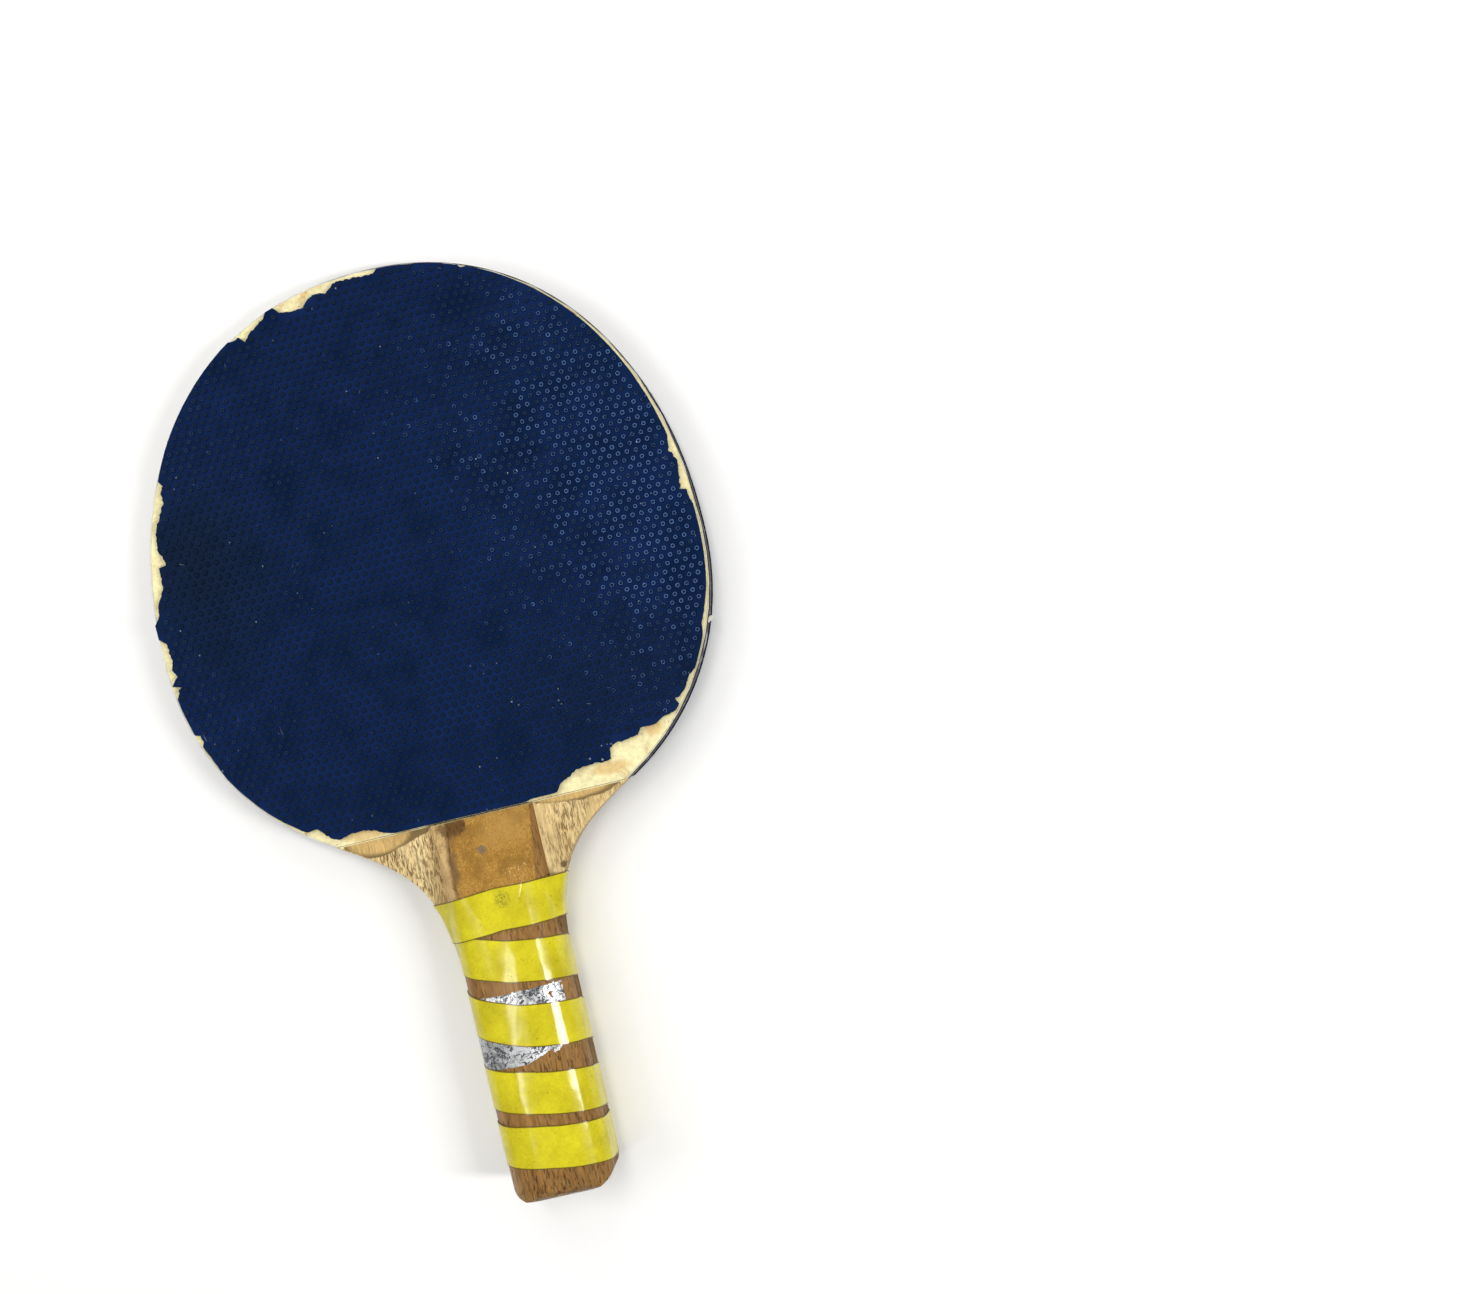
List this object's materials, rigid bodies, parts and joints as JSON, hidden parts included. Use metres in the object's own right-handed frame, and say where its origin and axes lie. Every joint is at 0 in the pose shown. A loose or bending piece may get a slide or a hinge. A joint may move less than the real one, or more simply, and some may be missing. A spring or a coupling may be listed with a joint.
{
  "type": "table tennis paddle",
  "caption": "Worn wooden table tennis paddle: round plywood blade, pimpled navy rubber on both faces, short straight handle bound with yellow tape.",
  "frame": {"origin": "centre of the paddle's bounding box, on the blade's middle plane", "axes": "+Y along the handle's axis towards the blade's tip, +Z out of the front playing face, +X to the right seen from the front"},
  "size_m": [0.1506, 0.2516, 0.0245],
  "materials": {
    "pale_ply": "worn clear lacquer, straight grain",
    "cross_ply": "cut edge, bare",
    "core_wood": "cut edge, bare",
    "edge_binding": "off-white strip, grimy",
    "dried_glue": "golden dried glue with rubber crumbs",
    "navy_rubber": "dark navy pimpled rubber, satin",
    "scale_wood": "varnished, rubbed and marked",
    "yellow_tape": "glossy stretched vinyl, dirt specks",
    "foil": "thin foil, abraded and creased",
    "decal_paper": "fibrous orange-brown paper left by a decal"
  },
  "bodies": {
    "root": {"core_ply": "core_wood", "front_cross_ply": "cross_ply", "rear_cross_ply": "cross_ply", "front_face_ply": "pale_ply", "rear_face_ply": "pale_ply", "edge_band": "edge_binding", "front_glue_film": "dried_glue", "rear_glue_film": "dried_glue", "front_rubber": "navy_rubber", "rear_rubber": "navy_rubber", "front_handle_scale": "scale_wood", "rear_handle_scale": "scale_wood", "grip_tape": "yellow_tape", "foil_label": "foil", "decal_remnant": "decal_paper"}
  },
  "joints": []
}
